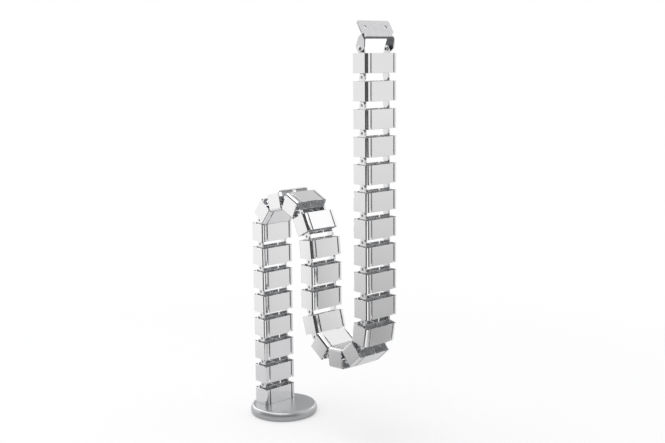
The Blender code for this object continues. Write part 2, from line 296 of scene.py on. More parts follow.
# %% [markdown]
# Under the foot lies a disc of black rubber. Rubber is matt, with a fine grain of about half a
# millimetre from the mould.

# %% Rubber for the foot pad
RUBBER_GRAIN = 0.5 * MM
GRAIN_DEPTH = 0.1 * MM


def rubber(name, colour, paler, roughness):
    """Matt rubber with a fine grain in its tone and its height."""
    material, tree, place = new_material(name)
    grain = noise(tree, place, RUBBER_GRAIN, 2.0)
    return painted(material, tree, {
        "Base Color": tone_between(tree, grain, colour, paler), "Roughness": roughness,
        "Normal": ripple(tree, grain, 0.3, GRAIN_DEPTH)})


pad_rubber = rubber("black_moulded_rubber", "#1A1A1B", "#262627", 0.75)

# %% [markdown]
# Next come the sizes of one link. It is a short rectangular tube with round corners. A web and
# a post divide it into four channels, and full-height slits beside the corners let a cable in
# from the front or the back.

# %% The sizes of a link
PITCH = 42 * MM
LINK_GAP = 12.1 * MM
LINK_WIDTH = 65.5 * MM
LINK_DEPTH = 33.6 * MM
CORNER_RADIUS = 4.5 * MM
CORNER_STEPS = 10
WALL = 1.8 * MM
SLIT_WIDTH = 2.4 * MM
SLIT_INSET = 8.2 * MM
SLIT_X = LINK_WIDTH / 2 - SLIT_INSET
STRIP_FALL = 0.35 * MM
CORNER_START = 86
SOFT_EDGE = 0.35 * MM

# %% [markdown]
# A link's section is the same four times over, so only one quarter of the outline is written
# as points. Mirroring it twice gives the whole closed line. The strip between a slit and the
# corner falls back by 0.35 mm, and the corner's arc starts at 86 degrees, not at 90. So the
# strip leans a little, and it mirrors another part of the studio than the panel does.

# %% The outline of a link


def arc(centre, radius, start, end, steps):
    """Points along an arc, with angles in degrees."""
    angles = [math.radians(start + (end - start) * i / steps) for i in range(steps + 1)]
    return [(centre[0] + radius * math.cos(a), centre[1] + radius * math.sin(a)) for a in angles]


def link_section():
    """The closed outline: side frames, web, post, and the two panels behind the slits."""
    side, face = LINK_WIDTH / 2, LINK_DEPTH / 2
    near, far = SLIT_X - SLIT_WIDTH / 2, SLIT_X + SLIT_WIDTH / 2
    quarter = [(near, face), (near, face - WALL), (WALL / 2, face - WALL), (WALL / 2, WALL / 2),
               (side - WALL, WALL / 2), (side - WALL, face - WALL), (far, face - WALL),
               (far, face)]
    quarter += arc((side - CORNER_RADIUS, face - CORNER_RADIUS - STRIP_FALL), CORNER_RADIUS,
                   CORNER_START, 0, CORNER_STEPS)
    mirrored = quarter[::-1]
    section = list(quarter)
    section += [(x, -y) for x, y in mirrored]
    section += [(-x, -y) for x, y in quarter]
    section += [(-x, y) for x, y in mirrored]
    return section


print("points in the outline:", len(link_section()))

# %% [markdown]
# One function makes a solid from a closed outline: it fills the outline as a face, extrudes it,
# and lets bmesh bevel each hard edge a little. A bevel is what catches the light along an
# edge. A second function spins a profile into a round solid. Smooth shading bends the mirror
# image on a flat face that joins a round one, so the border of every large flat face is marked
# as sharp.

# %% From an outline to a solid with soft edges
FLAT_FACE = 40 * MM * MM
BEVEL_STEPS = 2
WELD = 1e-6


def extruded(outline, bottom, top, soft=0.0, angle=30):
    """A solid from a closed outline in X and Y, between two heights."""
    solid = bmesh.new()
    floor_face = solid.faces.new([solid.verts.new((x, y, bottom)) for x, y in outline])
    raised = bmesh.ops.extrude_face_region(solid, geom=[floor_face])
    lid = [v for v in raised["geom"] if isinstance(v, bmesh.types.BMVert)]
    bmesh.ops.translate(solid, vec=(0, 0, top - bottom), verts=lid)
    bmesh.ops.recalc_face_normals(solid, faces=solid.faces)
    soften(solid, soft, angle)
    return solid


def soften(solid, width, angle):
    """Bevels every edge that turns by more than the angle, in degrees."""
    if width:
        hard = [e for e in solid.edges
                if e.is_manifold and e.calc_face_angle() > math.radians(angle)]
        bmesh.ops.bevel(solid, geom=hard, offset=width, segments=BEVEL_STEPS, profile=0.5,
                        affect="EDGES", clamp_overlap=True)


def turned(profile, steps):
    """A solid of revolution about Z from points of radius and height."""
    solid = bmesh.new()
    verts = [solid.verts.new((r, 0, z)) for r, z in profile]
    edges = [solid.edges.new(pair) for pair in zip(verts, verts[1:])]
    bmesh.ops.spin(solid, geom=verts + edges, cent=(0, 0, 0), axis=(0, 0, 1),
                   angle=2 * math.pi, steps=steps, use_duplicate=False)
    bmesh.ops.remove_doubles(solid, verts=solid.verts, dist=WELD)
    bmesh.ops.recalc_face_normals(solid, faces=solid.faces)
    return solid


def moved(solid, matrix):
    """The same solid at another place."""
    bmesh.ops.transform(solid, matrix=matrix, verts=solid.verts)
    return solid


def joined(name, solids, smooth=16):
    """One mesh from solids, smooth except at edges past an angle and around flat faces."""
    mesh = bpy.data.meshes.new(name)
    whole = bmesh.new()
    for solid in solids:
        part = bpy.data.meshes.new("part")
        solid.to_mesh(part)
        solid.free()
        whole.from_mesh(part)
        bpy.data.meshes.remove(part)
    whole.to_mesh(mesh)
    whole.free()
    mesh.shade_smooth()
    mesh.set_sharp_from_angle(angle=math.radians(smooth))
    for polygon in mesh.polygons:
        if polygon.area > FLAT_FACE:
            for key in polygon.loop_indices:
                mesh.edges[mesh.loops[key].edge_index].use_edge_sharp = True
    return mesh


# %% [markdown]
# The hinges are ears. A link has two outer ears on top, with a round hole, and two inner ears
# below, each with a stud that snaps into the hole of the link underneath. The ears carry on
# inside the side frames as ribs, so they are drawn longer than what shows. Their round ends
# run 10 degrees past the half circle at either side. SIDEWAYS stands a drawing up, so that its
# X and Y turn into the link's Y and Z.

# %% The sizes of the hinges
EAR_THICKNESS = 2 * MM
EAR_INSET = 5.4 * MM
EAR_CLEARANCE = 0.4 * MM
EAR_RADIUS = LINK_GAP / 2 - EAR_CLEARANCE
EAR_SHOULDER = 13 * MM
EAR_ROOT = 10 * MM
EAR_WRAP = 10
EAR_STEPS = 20
FIT = 0.3 * MM
OUTER_EAR_X = LINK_WIDTH / 2 - EAR_INSET - EAR_THICKNESS / 2
INNER_EAR_X = OUTER_EAR_X - EAR_THICKNESS - FIT
STUD_RADIUS = 2.1 * MM
STUD_CHAMFER = 0.3 * MM
STUD_HOLLOW = 1.5 * MM
HOLLOW_DEPTH = 3.0 * MM
STUD_PROUD = 0.1 * MM
STUD_STEPS = 28
HOLE_RADIUS = STUD_RADIUS + FIT
HOLE_STEPS = 32
EAR_EDGE = 0.25 * MM
EAR_HARD_ANGLE = 40
SIDEWAYS = Matrix(((0, 0, 1, 0), (1, 0, 0, 0), (0, 1, 0, 0), (0, 0, 0, 1)))

# %% [markdown]
# An ear is an outline that is extruded to the ear's thickness. Its hole is cut by a Boolean
# modifier. A modifier needs real objects, so two are made for a moment, and only the result is
# kept. A stud is a turned profile with a chamfer and a hollow at its end.

# %% Ears and studs


def ear(centre_x, hinge, shoulder, root):
    """A full ear: a round end about the hinge that widens into a rib."""
    way = 1 if hinge > shoulder else -1
    half = EAR_SHOULDER / 2
    outline = [(half, root), (half, shoulder)]
    outline += arc((0, hinge), EAR_RADIUS, -EAR_WRAP * way, (180 + EAR_WRAP) * way, EAR_STEPS)
    outline += [(-half, shoulder), (-half, root)]
    half_thick = EAR_THICKNESS / 2
    solid = extruded(outline, -half_thick, half_thick, EAR_EDGE, EAR_HARD_ANGLE)
    return moved(solid, Matrix.Translation((centre_x, 0, 0)) @ SIDEWAYS)


def bored_ear(centre_x, hinge, shoulder, root):
    """The ear with a hole, cut by a Boolean from the full one."""
    body = ear(centre_x, hinge, shoulder, root)
    hole = bmesh.new()
    bmesh.ops.create_cone(hole, cap_ends=True, segments=HOLE_STEPS, radius1=HOLE_RADIUS,
                          radius2=HOLE_RADIUS, depth=4 * EAR_THICKNESS)
    moved(hole, Matrix.Translation((centre_x, 0, hinge)) @ Matrix.Rotation(math.pi / 2, 4, "Y"))
    return cut(body, hole)


def cut(body, tool):
    """Takes one solid out of another with the Boolean modifier."""
    objects = []
    for name, solid in (("cut_body", body), ("cut_tool", tool)):
        mesh = bpy.data.meshes.new(name)
        solid.to_mesh(mesh)
        solid.free()
        objects.append(bpy.data.objects.new(name, mesh))
        scene.collection.objects.link(objects[-1])
    boolean = objects[0].modifiers.new("cut", "BOOLEAN")
    boolean.operation = "DIFFERENCE"
    boolean.solver = "EXACT"
    boolean.object = objects[1]
    graph = bpy.context.evaluated_depsgraph_get()
    result = bmesh.new()
    result.from_mesh(objects[0].evaluated_get(graph).to_mesh())
    for item in objects:
        mesh = item.data
        bpy.data.objects.remove(item)
        bpy.data.meshes.remove(mesh)
    return result


def stud(side):
    """The hollow stud of an inner ear, with a small chamfer at its end."""
    start = INNER_EAR_X
    length = OUTER_EAR_X + EAR_THICKNESS / 2 + STUD_PROUD - start
    profile = [(0, 0), (STUD_RADIUS, 0), (STUD_RADIUS, length - STUD_CHAMFER),
               (STUD_RADIUS - STUD_CHAMFER, length), (STUD_HOLLOW, length),
               (STUD_HOLLOW, length - HOLLOW_DEPTH), (0, length - HOLLOW_DEPTH)]
    return moved(turned(profile, STUD_STEPS), Matrix.Translation((side * start, 0, 0))
                 @ Matrix.Rotation(side * math.pi / 2, 4, "Y"))


# %% [markdown]
# Now the link is put together: the tube, two bored ears above, two ears with studs below. The
# faces in the channels are found by their place, between the ends of the tube, and by their
# direction: what looks up, down or out of a round corner is outside. The hollows of the studs
# are marked too. These marked faces get painted shade. The mark is stored as an attribute that
# the tree can read.

# %% The link
LOOKS_UP = 0.7


def mark_inside(mesh, bottom, top):
    """Marks the faces in a channel or a stud's hollow, for their painted shade."""
    side, face = LINK_WIDTH / 2 - WALL / 2, LINK_DEPTH / 2 - WALL / 2
    mark = mesh.attributes.new("inside", "BOOLEAN", "FACE")
    for polygon in mesh.polygons:
        x, y, z = polygon.center
        way = polygon.normal
        round_corner = abs(x) > side - CORNER_RADIUS and way.x * x > 0 and way.y * y > 0
        in_channel = (abs(x) < side and abs(y) < face and bottom < z < top
                      and abs(way.z) < LOOKS_UP and not round_corner)
        in_stud = abs(x) > INNER_EAR_X and math.hypot(y, z) < STUD_HOLLOW
        mark.data[polygon.index].value = in_channel or in_stud
    return mesh


def link_mesh(name, bottom, lower_ears):
    """A link from its lower end up to its bored ears, with its origin at the lower hinge."""
    top = PITCH - LINK_GAP / 2
    solids = [extruded(link_section(), bottom, top, SOFT_EDGE)]
    for side in (-1, 1):
        solids.append(bored_ear(side * OUTER_EAR_X, PITCH, top, top - EAR_ROOT))
        if lower_ears:
            solids.append(ear(side * INNER_EAR_X, 0, bottom, bottom + EAR_ROOT))
            solids.append(stud(side))
    return mark_inside(joined(name, solids), bottom, top)


link_shape = link_mesh("link_shape", LINK_GAP / 2, True)
print("faces in a link:", len(link_shape.polygons))

# %% [markdown]
# The record says where every hinge is. The links lie on the line through these points, each
# turned so that it points at the next hinge. The line is a small mesh whose points carry their
# turn as an attribute, and the tree below puts a link on one of them.

# %% The line of the hinges
hinges = {j["name"]: Vector(j["pos_m"]) for j in record["behaviour"]["joints"]}
LINKS = len([n for n in frame["nodes"] if n.startswith("link_")])
hinge_points = [hinges[f"hinge_{n:02d}"] for n in range(2, LINKS + 1)] + [hinges["bracket_hinge"]]
foot_point = hinge_points[0] - Vector((0, 0, PITCH))
hinge_points.insert(0, foot_point)


def turn_of(start, end):
    """The turn about X that stands a link on one hinge and points it at the next."""
    way = end - start
    return math.atan2(-way.y, way.z)


turns = [turn_of(a, b) for a, b in zip(hinge_points, hinge_points[1:])]
hinge_line = bpy.data.meshes.new("hinge_line")
hinge_line.from_pydata(hinge_points[:-1], [(i, i + 1) for i in range(LINKS - 1)], [])
hinge_line.attributes.new("turn", "FLOAT", "POINT").data.foreach_set("value", turns)
print("links:", LINKS, "turns:", [round(math.degrees(t)) for t in turns])

# %% [markdown]
# The tree reads the line, keeps one point by its number, sets a copy of the link there, and
# gives it its lacquer outside and its painted shade inside. Realize Instances turns the copy
# into real faces, which the export needs. Its inputs are named, so the same tree also serves
# for other shapes on other lines.

# %% The tree that lays links on the line


def input_socket(tree, name, kind, value=None):
    """Adds a named input to a tree, with its value unless it has none."""
    socket = tree.interface.new_socket(name, in_out="INPUT", socket_type=kind)
    if value is not None:
        socket.default_value = value
    return socket


def link_on_line_tree():
    """The tree that lays one link on the line of the hinges."""
    tree = bpy.data.node_groups.new("link_on_line", "GeometryNodeTree")
    input_socket(tree, "Line", "NodeSocketGeometry")
    input_socket(tree, "Shape", "NodeSocketObject")
    input_socket(tree, "Number", "NodeSocketInt", 0)
    input_socket(tree, "Outside", "NodeSocketMaterial")
    input_socket(tree, "Inside", "NodeSocketMaterial")
    tree.interface.new_socket("Links", in_out="OUTPUT", socket_type="NodeSocketGeometry")
    given = add(tree, "NodeGroupInput").outputs
    shape = add(tree, "GeometryNodeObjectInfo", {"Object": given["Shape"]})
    here = add(tree, "FunctionNodeCompare", {2: add(tree, "GeometryNodeInputIndex").outputs[0],
                                             3: given["Number"]},
               data_type="INT", operation="EQUAL")
    turn = add(tree, "GeometryNodeInputNamedAttribute", {"Name": "turn"}, data_type="FLOAT")
    angle = add(tree, "ShaderNodeCombineXYZ", {"X": turn.outputs[0]})
    points = add(tree, "GeometryNodeInstanceOnPoints", {
        "Points": given["Line"], "Selection": here.outputs[0],
        "Instance": shape.outputs["Geometry"], "Rotation": angle.outputs[0]})
    real = add(tree, "GeometryNodeRealizeInstances", {"Geometry": points.outputs[0]})
    sprayed = add(tree, "GeometryNodeSetMaterial", {"Geometry": real.outputs[0],
                                                    "Material": given["Outside"]})
    # The faces marked inside get the painted shade.
    mark = add(tree, "GeometryNodeInputNamedAttribute", {"Name": "inside"}, data_type="BOOLEAN")
    shaded_inside = add(tree, "GeometryNodeSetMaterial", {"Geometry": sprayed.outputs[0],
                                                 "Selection": mark.outputs[0],
                                                 "Material": given["Inside"]})
    add(tree, "NodeGroupOutput", {0: shaded_inside.outputs[0]})
    return tree


def grown(name, mesh, tree, values):
    """Runs a tree on a mesh and returns the result as a plain object, with no modifier."""
    holder = bpy.data.objects.new("holder", mesh)
    scene.collection.objects.link(holder)
    modifier = holder.modifiers.new("tree", "NODES")
    modifier.node_group = tree
    for item in tree.interface.items_tree:
        if item.in_out == "INPUT" and item.name in values:
            modifier[item.identifier] = values[item.name]
    graph = bpy.context.evaluated_depsgraph_get()
    result = bpy.data.meshes.new_from_object(holder.evaluated_get(graph), depsgraph=graph)
    bpy.data.objects.remove(holder)
    result.name = name
    piece = bpy.data.objects.new(name, result)
    scene.collection.objects.link(piece)
    return piece


link_tree = link_on_line_tree()

# %% [markdown]
# The master link is only a pattern, so it stays out of the scene's collection and out of the
# render. Each link becomes one piece that rides on its own body, because every hinge can turn.

# %% Links 2 to 30
shape_holder = bpy.data.objects.new("link_shape_holder", link_shape)


def finished(piece, body, slot, *nodes):
    """Lets a piece ride on a body and hides the CAD parts it replaces; the slot is not used."""
    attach(piece, body)
    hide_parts(*nodes)
    return piece


def laid_link(number, shape):
    """One link of the chain, on its own body or, in the foot, on the base."""
    name = f"link_{number:02d}"
    piece = grown(f"{name}_moulding", hinge_line, link_tree, {
        "Shape": shape, "Number": number - 1, "Outside": link_silver, "Inside": link_inside_shade})
    body = name if name in frame["bodies"] else "base"
    return finished(piece, body, "silver_plastic", name)


links = [laid_link(number, shape_holder) for number in range(2, LINKS + 1)]
print("links laid:", len(links), "faces each:", len(links[0].data.polygons))

# %% [markdown]
# The first link stands in the foot. It has no lower ears, and its tube carries on down into
# the pocket of the foot, where two screws hold it from below.

# %% The link in the foot
foot_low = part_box("link_01")[0].z
foot_shape = link_mesh("foot_link_shape", foot_low - foot_point.z, False)
foot_holder = bpy.data.objects.new("foot_shape_holder", foot_shape)
laid_link(1, foot_holder)
print("foot link from", round(foot_low / MM, 1), "mm")

# %% [markdown]
# The foot is a turned disc. Its profile starts in the middle of the top, runs out almost
# level, drops over a rounded rim and tucks in towards the floor. Spinning a profile is the
# quickest way to such a shape, and 128 steps keep the rim smooth. A pocket in its top takes
# the first link.

# %% The foot
BASE_RADIUS = 58.5 * MM
BASE_HEIGHT = 17 * MM
BASE_CROWN = 1 * MM
RIM = 5.5 * MM
WIDEST = 7 * MM
TUCK = 1.5 * MM
FLOOR_CLEARANCE = 1 * MM
RECESS_RADIUS = 55.3 * MM
RECESS_HEIGHT = 2.1 * MM
POCKET_FLOOR = 9 * MM
POCKET_STEPS = 12
CROWN_STEPS = 9
RIM_STEPS = 12
TUCK_STEPS = 4
SPIN_STEPS = 128
TURNED_ANGLE = 35


def base_profile():
    """Points of radius and height, from the middle of the top round to the recess below."""
    crest = BASE_RADIUS - RIM
    points = [(0, BASE_HEIGHT)]
    for step in range(1, CROWN_STEPS):
        share = step / CROWN_STEPS
        points.append((crest * share, BASE_HEIGHT - BASE_CROWN * share * share))
    rim_height = BASE_HEIGHT - BASE_CROWN - WIDEST
    for step in range(RIM_STEPS + 1):
        turn = math.pi / 2 * step / RIM_STEPS
        points.append((crest + RIM * math.sin(turn), WIDEST + rim_height * math.cos(turn)))
    for step in range(1, TUCK_STEPS + 1):
        share = step / TUCK_STEPS
        points.append((BASE_RADIUS - TUCK * share * share,
                       WIDEST + (FLOOR_CLEARANCE - WIDEST) * share))
    points += [(RECESS_RADIUS, FLOOR_CLEARANCE), (RECESS_RADIUS, RECESS_HEIGHT),
               (0, RECESS_HEIGHT)]
    return points


def pocket():
    """The rounded rectangle, 0.3 mm larger than the link, that is cut into the foot."""
    side, face = LINK_WIDTH / 2 + FIT, LINK_DEPTH / 2 + FIT
    radius = CORNER_RADIUS + FIT
    outline = []
    for x, y, start in ((1, 1, 0), (-1, 1, 90), (-1, -1, 180), (1, -1, 270)):
        centre = (x * (side - radius), y * (face - radius))
        outline += arc(centre, radius, start, start + 90, POCKET_STEPS)
    solid = extruded(outline, POCKET_FLOOR, BASE_HEIGHT * 2)
    return moved(solid, Matrix.Translation((0, foot_point.y, 0)))


def placed(name, mesh, material):
    """Puts a mesh with one material into the scene as an object."""
    mesh.materials.append(material)
    item = bpy.data.objects.new(name, mesh)
    scene.collection.objects.link(item)
    return item


foot_solid = cut(turned(base_profile(), SPIN_STEPS), pocket())
foot_mesh = joined("foot_disc", [foot_solid], TURNED_ANGLE)
foot_disc = placed("foot_disc", foot_mesh, foot_enamel)
finished(foot_disc, "base", "painted_steel", "weighted_base")
print("foot faces:", len(foot_mesh.polygons))

# %% [markdown]
# The pad is turned as well, with a small round along its lower edge.

# %% The foot pad
PAD_RADIUS = 55 * MM
PAD_THICKNESS = 1.8 * MM
PAD_ROUND = 0.5 * MM
PAD_ROUND_STEPS = 4
pad_profile = [(0, PAD_THICKNESS), (PAD_RADIUS, PAD_THICKNESS)]
pad_profile += arc((PAD_RADIUS - PAD_ROUND, PAD_ROUND), PAD_ROUND, 0, -90, PAD_ROUND_STEPS)
pad_profile.append((0, 0))
pad_mesh = joined("foot_pad_disc", [turned(pad_profile, SPIN_STEPS)], TURNED_ANGLE)
pad_disc = placed("foot_pad_disc", pad_mesh, pad_rubber)
finished(pad_disc, "base", "pad_rubber", "foot_pad")

# %% [markdown]
# The bracket is folded from one steel sheet. The CAD already has its exact shape, so a copy of
# that mesh is cleaned, its flat faces are put together again, and every edge gets a small
# bevel, as tumbling gives to stamped sheet. The front and the inner faces get painted shade, a
# dull and dark copy of the zinc. They are found in the bracket's own frame, in which its plate
# lies level: a face is inside when it looks down or towards the middle, between the arms' sheets.

# %% The bracket
SHEET_EDGE = 0.3 * MM
SHEET = 2 * MM
RIVET_HEAD = 1.2 * MM
RIVET_REACH = RIVET_HEAD + FIT + SHEET / 2
FLAT_ANGLE = 1
BEND_FACET = 25
BENT_ANGLE = 30
TOWARDS_MIDDLE = -1e-4
LOOKS_DOWN = -0.5
LOOKS_FORWARD = -0.3

bracket_solid = bmesh.new()
bracket_solid.from_mesh(frame["nodes"]["bracket"].data)
bmesh.ops.remove_doubles(bracket_solid, verts=bracket_solid.verts, dist=WELD)
bmesh.ops.dissolve_limit(bracket_solid, angle_limit=math.radians(FLAT_ANGLE),
                         verts=bracket_solid.verts, edges=bracket_solid.edges)
soften(bracket_solid, SHEET_EDGE, BEND_FACET)
bracket_mesh = joined("bracket_sheet", [bracket_solid], BENT_ANGLE)
bracket_sheet = placed("bracket_sheet", bracket_mesh, plated_sheet)
# The second material is the painted shade on the front and inner faces.
bracket_mesh.materials.append(shaded_zinc)
plate_axis = Vector(record["mounts"][1]["axis"])
level_turn = math.atan2(-plate_axis.y, plate_axis.z)
level = Matrix.Rotation(-level_turn, 3, "X")
arm_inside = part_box("bracket_rivet_right")[1].x - RIVET_REACH
for polygon in bracket_mesh.polygons:
    way = level @ polygon.normal
    spot = level @ (polygon.center - hinges["bracket_hinge"])
    towards_middle = way.x * spot.x < TOWARDS_MIDDLE
    inner = abs(spot.x) < arm_inside and (towards_middle or way.z < LOOKS_DOWN)
    front = way.y < LOOKS_FORWARD and abs(spot.x) < arm_inside - SHEET
    polygon.material_index = 1 if inner or front else 0
finished(bracket_sheet, "bracket", "zinc_steel", "bracket")

# %% [markdown]
# Rivets and screws are the same kind of thing: a head, a shank and perhaps a closed tail. One
# tree draws both from named sizes, with a chamfered head made of a short cylinder and a cone.

# %% The tree for rivets and screws
HEAD_STEPS = 32
SHANK_STEPS = 24
CROWN_RINGS = 3
CROWN_SHARE = 0.72
HARD_ANGLE = 40


def fastener_tree():
    """The tree that draws a head, a shank and a tail along Z, with the head's seat at 0."""
    tree = bpy.data.node_groups.new("fastener", "GeometryNodeTree")
    input_socket(tree, "Seed mesh", "NodeSocketGeometry")
    for name in ("Head Radius", "Head Height", "Shank Radius", "Shank Length", "Tail Radius"):
        input_socket(tree, name, "NodeSocketFloat", 1 * MM)
    input_socket(tree, "Finish", "NodeSocketMaterial")
    tree.interface.new_socket("Fastener", in_out="OUTPUT", socket_type="NodeSocketGeometry")
    given = add(tree, "NodeGroupInput").outputs

    def math_node(operation, first, second):
        """The result of one operation on two values or links."""
        return add(tree, "ShaderNodeMath", {0: first, 1: second}, operation=operation).outputs[0]

    def lifted(geometry, height):
        """A shape moved up by a height."""
        offset = add(tree, "ShaderNodeCombineXYZ", {"Z": height})
        return add(tree, "GeometryNodeTransform", {"Geometry": geometry,
                                                   "Translation": offset.outputs[0]}).outputs[0]

    def cylinder(vertices, radius, depth):
        """A cylinder about its middle."""
        return add(tree, "GeometryNodeMeshCylinder", {
            "Vertices": vertices, "Radius": radius, "Depth": depth}).outputs[0]

    half_head = math_node("MULTIPLY", given["Head Height"], 0.5)
    quarter_head = math_node("MULTIPLY", given["Head Height"], 0.25)
    half_way = math_node("MULTIPLY", given["Shank Length"], -0.5)
    tail_height = math_node("SUBTRACT", quarter_head, given["Shank Length"])
    rim = cylinder(HEAD_STEPS, given["Head Radius"], half_head)
    crown = add(tree, "GeometryNodeMeshCone", {
        "Vertices": HEAD_STEPS, "Side Segments": CROWN_RINGS,
        "Radius Top": math_node("MULTIPLY", given["Head Radius"], CROWN_SHARE),
        "Radius Bottom": given["Head Radius"], "Depth": half_head}).outputs[0]
    shank = cylinder(SHANK_STEPS, given["Shank Radius"], given["Shank Length"])
    tail = cylinder(HEAD_STEPS, given["Tail Radius"], half_head)
    whole = add(tree, "GeometryNodeJoinGeometry")
    for part, height in ((rim, quarter_head), (crown, half_head), (shank, half_way),
                         (tail, tail_height)):
        tree.links.new(lifted(part, height), whole.inputs[0])
    real = add(tree, "GeometryNodeRealizeInstances", {"Geometry": whole.outputs[0]})
    plated = add(tree, "GeometryNodeSetMaterial", {"Geometry": real.outputs[0],
                                                   "Material": given["Finish"]})
    add(tree, "NodeGroupOutput", {0: plated.outputs[0]})
    return tree


fasteners = fastener_tree()
seed_mesh = bpy.data.meshes.new("fastener_seed")


def fastener(name, place, outward, sizes, body, node):
    """Draws a fastener with its head's seat at a place and its head outwards."""
    piece = grown(name, seed_mesh, fasteners, dict(sizes, Finish=plated_sheet))
    turn = Vector((0, 0, 1)).rotation_difference(Vector(outward)).to_matrix().to_4x4()
    piece.data.transform(Matrix.Translation(place) @ turn)
    piece.data.shade_smooth()
    piece.data.set_sharp_from_angle(angle=math.radians(HARD_ANGLE))
    return finished(piece, body, "zinc_steel", node)


# %% [markdown]
# The two rivets pin the bracket's arms to the top link, and two screws hold the foot link from
# below. Their places come from the boxes of the CAD nodes.

# %% Rivets and screws
RIVET = {"Head Radius": 3.6 * MM, "Head Height": RIVET_HEAD, "Shank Radius": 2.1 * MM,
         "Tail Radius": 3.6 * MM}
SCREW = {"Head Radius": 3.4 * MM, "Head Height": 2.2 * MM, "Shank Radius": 1.7 * MM,
         "Tail Radius": 1.6 * MM}

for side, word in ((-1, "left"), (1, "right")):
    node = f"bracket_rivet_{word}"
    low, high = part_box(node)
    centre = (low + high) / 2
    seat = (low.x if side < 0 else high.x) - side * RIVET["Head Height"]
    length = high.x - low.x - RIVET["Head Height"]
    fastener(f"rivet_{word}", Vector((seat, centre.y, centre.z)), (side, 0, 0),
             dict(RIVET, **{"Shank Length": length}), "bracket", node)

for number in (1, 2):
    node = f"base_screw_{number}"
    low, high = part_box(node)
    centre = (low + high) / 2
    fastener(f"foot_screw_{number}", Vector((centre.x, centre.y, low.z + SCREW["Head Height"])),
             (0, 0, -1), dict(SCREW, **{"Shank Length": high.z - low.z - SCREW["Head Height"]}),
             "base", node)

# %% [markdown]
# A shiny object shows its surroundings more than itself, so the studio matters. The world is
# bright all round, with a dark side behind the camera, a few bright lamps and soft patches of
# grey. Only what is mirrored sees these patches. Scattered light gets an even, plain level,
# and the camera sees white.

# %% The studio as a world
world = bpy.data.worlds.new("studio")
world.use_nodes = True
scene.world = world
sky = world.node_tree
sky.nodes.clear()
DEGREE = math.pi / 180
direction = add(sky, "ShaderNodeTexCoord").outputs["Generated"]
axes = add(sky, "ShaderNodeSeparateXYZ", {0: direction}).outputs
elevation = add(sky, "ShaderNodeMath", {0: axes["Z"]}, operation="ARCSINE").outputs[0]


def heading_from(middle):
    """The heading of a direction in radians, counted from a middle heading in degrees."""
    turned_way = add(sky, "ShaderNodeVectorRotate", {
        "Vector": direction, "Axis": (0, 0, 1), "Angle": -middle * DEGREE},
        rotation_type="AXIS_ANGLE")
    parts = add(sky, "ShaderNodeSeparateXYZ", {0: turned_way.outputs[0]}).outputs
    return add(sky, "ShaderNodeMath", {0: parts["Y"], 1: parts["X"]},
               operation="ARCTAN2").outputs[0]


def ramp(value, start, end):
    """0 before start, 1 after end, both in degrees, with a soft change between."""
    return add(sky, "ShaderNodeMapRange", {"Value": value, 1: start * DEGREE, 2: end * DEGREE},
               interpolation_type="SMOOTHSTEP").outputs[0]


def times(first, second):
    """The product of two values."""
    return add(sky, "ShaderNodeMath", {0: first, 1: second}, operation="MULTIPLY").outputs[0]


def patch(middle, half_width, bottom, top, soft_side, soft_end):
    """A soft rectangle on the sky: 1 inside, 0 outside."""
    heading = add(sky, "ShaderNodeMath", {0: heading_from(middle)}, operation="ABSOLUTE")
    across = ramp(heading.outputs[0], half_width + soft_side / 2, half_width - soft_side / 2)
    up = times(ramp(elevation, bottom - soft_end / 2, bottom + soft_end / 2),
               ramp(elevation, top + soft_end / 2, top - soft_end / 2))
    return times(across, up)


# %% [markdown]
# Each patch is a heading, a half width, a bottom and a top, all in degrees, and the brightness
# that it brings. A heading of 0 looks along +X and 90 along +Y. The camera stands at a heading
# of 231. Upright panels mirror what is near -42, and the links' sides what is near 132. Later
# patches cover earlier ones.

# %% Patches of the studio
PATCHES = (
    # Middle, half width, bottom, top, soft sides, soft ends, brightness.
    # The ceiling, and lamps above the camera, behind to the left and behind to the right.
    (0, 200, 68, 120, 10, 16, 0.85),
    (227, 40, 48, 92, 20, 10, 1.6),
    (90, 24, 16, 60, 10, 8, 2.6),
    (5, 12, 18, 36, 8, 6, 2.6),
    # What the panels mirror: upright ones, the lowest ones, and those that lean back.
    (-38, 16, -45, 16, 5, 20, 0.89),
    (-44, 18, -45, -13, 4, 10, 0.71),
    (-42, 34, 20, 46, 24, 12, 1.16),
    (-24, 14, 34, 58, 16, 10, 0.80),
    # Greys high up at both sides, for the bends, and a dark card straight behind.
    (24, 16, 32, 78, 12, 6, 0.68),
    (162, 26, 40, 78, 14, 8, 0.62),
    (48, 14, 4, 30, 10, 8, 0.36),
    # What the links' sides mirror, below and above.
    (132, 34, -60, -15, 30, 8, 0.88),
    (132, 30, -10, 40, 14, 5, 1.06),
    # The dark side behind the camera, and low down a dark, a bright and a dark card.
    (211, 71, -7, 42, 4, 3, 0.08),
    (168, 28, -32, -5, 4, 3, 0.07),
    (221, 25, -40, -9, 4, 4, 1.15),
    (269, 23, -32, -6, 4, 3, 0.05),
)
SCATTERED_LEVEL = 0.8
CAMERA_LEVEL = 1.0
brightness = 1.0
for *edges, brought in PATCHES:
    brightness = add(sky, "ShaderNodeMix", {"Factor": patch(*edges), 2: brightness, 3: brought},
                     data_type="FLOAT").outputs[0]
rays = add(sky, "ShaderNodeLightPath").outputs
mirrored = add(sky, "ShaderNodeMix", {"Factor": rays["Is Glossy Ray"], 2: SCATTERED_LEVEL,
                                      3: brightness}, data_type="FLOAT").outputs[0]
seen = add(sky, "ShaderNodeMix", {"Factor": rays["Is Camera Ray"], 2: mirrored,
                                  3: CAMERA_LEVEL}, data_type="FLOAT").outputs[0]
background = add(sky, "ShaderNodeBackground", {"Color": WHITE, "Strength": seen})
add(sky, "ShaderNodeOutputWorld", {"Surface": background.outputs[0]})

# %% [markdown]
# The floor is a large pale disc with the soft shadow of the foot on it. A little glow lifts it
# almost to white. It fades out with the distance: for the camera into the white of the
# background, and in mirrored rays much sooner, so the links mirror the studio's patches and
# not a floor that goes on for ever.

